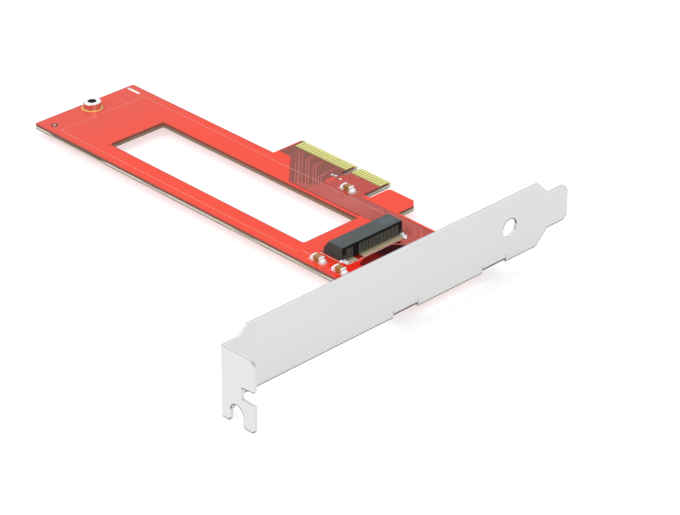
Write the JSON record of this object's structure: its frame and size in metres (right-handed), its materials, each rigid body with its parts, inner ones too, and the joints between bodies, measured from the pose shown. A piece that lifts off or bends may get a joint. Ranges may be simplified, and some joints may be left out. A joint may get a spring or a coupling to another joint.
{
  "type": "ssd adapter card",
  "caption": "Long narrow adapter card with a card-edge tongue, a slot and a standoff for one solid state drive, and a full-height slot bracket.",
  "frame": {"origin": "centre of the card edge's key notch, on the outer end of the card edge, half way through the board", "axes": "+Y out of the card edge, +X along the board and out through the bracket, +Z out of the component side"},
  "size_m": [0.1543, 0.12, 0.0219],
  "materials": {
    "board": "glossy solder mask",
    "gold": "gold plated, smooth",
    "housing": "matte black moulding",
    "spring": "gold plated spring contact",
    "tin": "tinned metal",
    "standoff": "nickel plated, smooth",
    "bracket": "satin plated sheet",
    "screw": "plated",
    "ceramic": "fired ceramic"
  },
  "bodies": {
    "root": {"circuit_board": "board", "edge_contacts_top": "gold", "edge_contacts_bottom": "gold", "slot_housing": "housing", "slot_contacts_upper": "spring", "slot_contacts_lower": "spring", "slot_hold_down_left": "tin", "slot_hold_down_right": "tin", "slot_pads": "tin", "standoff": "standoff", "standoff_pad": "gold", "bracket": "bracket", "bracket_screw_front": "screw", "bracket_screw_rear": "screw", "screw_rings": "tin", "capacitor_a": "ceramic", "capacitor_b": "ceramic", "capacitor_c": "ceramic", "capacitor_a_ends": "tin", "capacitor_b_ends": "tin", "capacitor_c_ends": "tin", "capacitor_pads": "tin", "capacitor_solder": "tin", "fiducial": "tin"}
  },
  "joints": []
}
